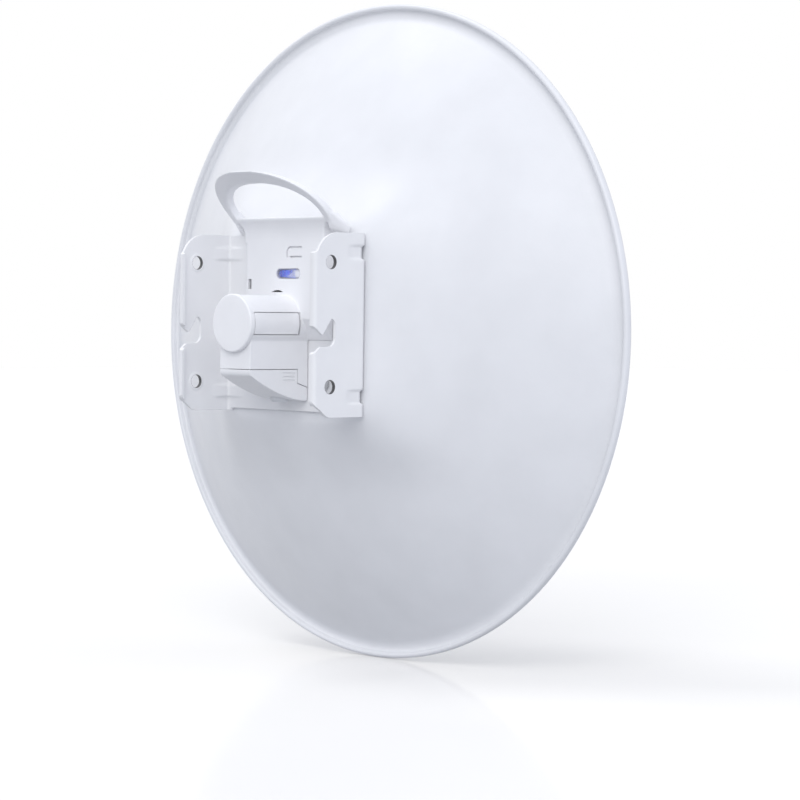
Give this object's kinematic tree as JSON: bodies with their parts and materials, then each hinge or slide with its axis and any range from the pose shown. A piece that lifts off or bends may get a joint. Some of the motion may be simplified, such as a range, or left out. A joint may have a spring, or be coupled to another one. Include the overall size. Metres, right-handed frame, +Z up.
{
  "type": "wireless bridge",
  "caption": "Outdoor dish bridge on a bent-sheet pole bracket, with a pull-out feed unit, carrying handle, slide-off port cover and spirit level.",
  "frame": {"origin": "middle of the bracket's bolt pattern, half way between the two flanges, where the pole clamp holds the part", "axes": "+Y is the beam, out of the dish's mouth; +Z is up; +X is to the right for someone behind the dish, along the clamp bolts"},
  "size_m": [0.42, 0.2253, 0.42],
  "materials": {
    "white_powder_coat": "white polyester powder coat on steel sheet, satin",
    "white_plastic": "white UV-stable ABS, fine satin",
    "radome_plastic": "white radome plastic, satin",
    "zinc_plate": "zinc plated steel",
    "bare_aluminium": "spun aluminium",
    "circuit_board": "green solder mask on glass-epoxy board",
    "tinned_shield": "tinned steel shield",
    "black_plastic": "black thermoplastic",
    "grey_rubber": "grey elastomer",
    "brass": "bare brass sheet",
    "clear_vial": "clear acrylic",
    "blue_liquid": "blue spirit, still",
    "air_bubble": "air bubble",
    "light_pipe": "clear light pipe"
  },
  "bodies": {
    "dish_frame": {"clinch_nut_1": "zinc_plate", "clinch_nut_2": "zinc_plate", "clinch_nut_3": "zinc_plate", "clinch_nut_4": "zinc_plate", "dish_reflector": "white_powder_coat", "dish_screw_1": "zinc_plate", "dish_screw_2": "zinc_plate", "dish_screw_3": "zinc_plate", "dish_screw_4": "zinc_plate", "housing_screw_1": "zinc_plate", "housing_screw_2": "zinc_plate", "housing_screw_3": "zinc_plate", "housing_screw_4": "zinc_plate", "level_bubble": "air_bubble", "level_liquid": "blue_liquid", "level_vial": "clear_vial", "mounting_bracket": "white_powder_coat", "rear_cap": "white_plastic", "rear_housing": "white_plastic"},
    "feed_unit": {"ethernet_jack": "black_plastic", "feed_base": "radome_plastic", "feed_board": "circuit_board", "feed_cap": "radome_plastic", "feed_seal": "grey_rubber", "feed_tube": "radome_plastic", "radiator": "brass", "radiator_post": "white_plastic", "reset_switch": "black_plastic", "shield_can_power": "tinned_shield", "shield_can_radio": "tinned_shield", "status_light": "light_pipe", "sub_reflector": "bare_aluminium"},
    "reset_plunger": {"reset_button": "grey_rubber"},
    "cover": {"cable_grommet": "grey_rubber", "port_cover": "white_plastic"},
    "tab_left": {"release_tab_left": "white_plastic"},
    "tab_right": {"release_tab_right": "white_plastic"}
  },
  "joints": [
    {"name": "feed_unit_slide", "type": "slide", "parent": "dish_frame", "child": "feed_unit", "axis": [0, 1, 0], "range_m": [0, 0.055]},
    {"name": "reset_button_press", "type": "slide", "parent": "feed_unit", "child": "reset_plunger", "axis": [0, 0, 1], "range_m": [0, 0.0006], "stiffness_N_per_m": 600},
    {"name": "port_cover_slide", "type": "slide", "parent": "dish_frame", "child": "cover", "axis": [0, -1, 0], "range_m": [0, 0.05]},
    {"name": "release_tab_left_press", "type": "hinge", "parent": "dish_frame", "child": "tab_left", "pos_m": [-0.0165, -0.0193, 0], "axis": [0, 0, -1], "range_deg": [0, 3], "stiffness_Nm_per_rad": 0.6},
    {"name": "release_tab_right_press", "type": "hinge", "parent": "dish_frame", "child": "tab_right", "pos_m": [0.0165, -0.0193, 0], "axis": [0, 0, 1], "range_deg": [0, 3], "stiffness_Nm_per_rad": 0.6}
  ]
}
